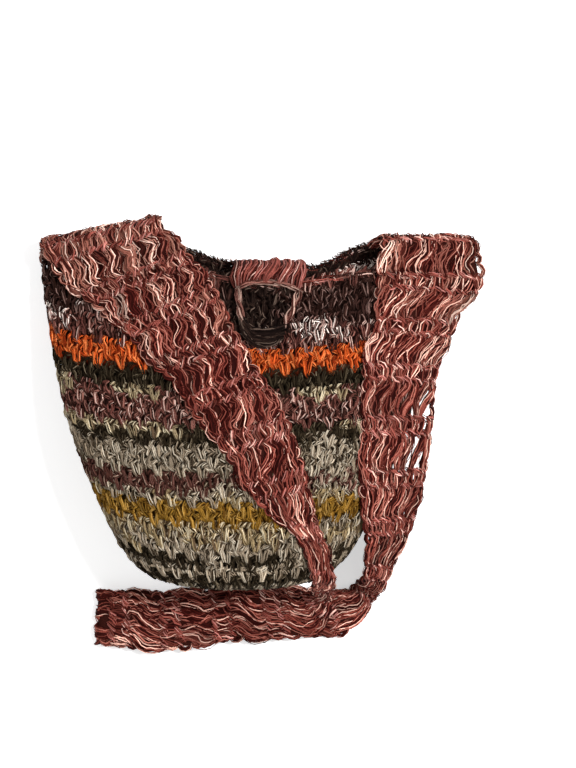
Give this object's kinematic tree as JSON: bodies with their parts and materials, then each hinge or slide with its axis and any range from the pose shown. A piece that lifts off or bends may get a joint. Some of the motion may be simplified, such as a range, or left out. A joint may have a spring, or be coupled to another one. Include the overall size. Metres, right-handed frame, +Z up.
{
  "type": "crocheted shoulder bag",
  "caption": "Bucket-shaped striped crochet shoulder bag lying on its back, with an open mouth, a closing loop over the rim and a wide crochet strap laid over the front.",
  "frame": {"origin": "on the surface the bag lies on, under the middle of the footprint of bag and strap", "axes": "+Z up, away from the surface and out of the bag's front; +Y from the base towards the mouth; +X across the bag"},
  "size_m": [0.3833, 0.3771, 0.1251],
  "materials": {
    "bag_yarn": "matte multi-strand crochet yarn in flecked stripes",
    "strap_yarn": "matte dusty red crochet yarn with pale flecks",
    "loop_yarn": "matte mauve and dark grey crochet yarn"
  },
  "bodies": {
    "root": {"bag_body": "bag_yarn", "strap": "strap_yarn", "closing_loop": "loop_yarn"}
  },
  "joints": []
}
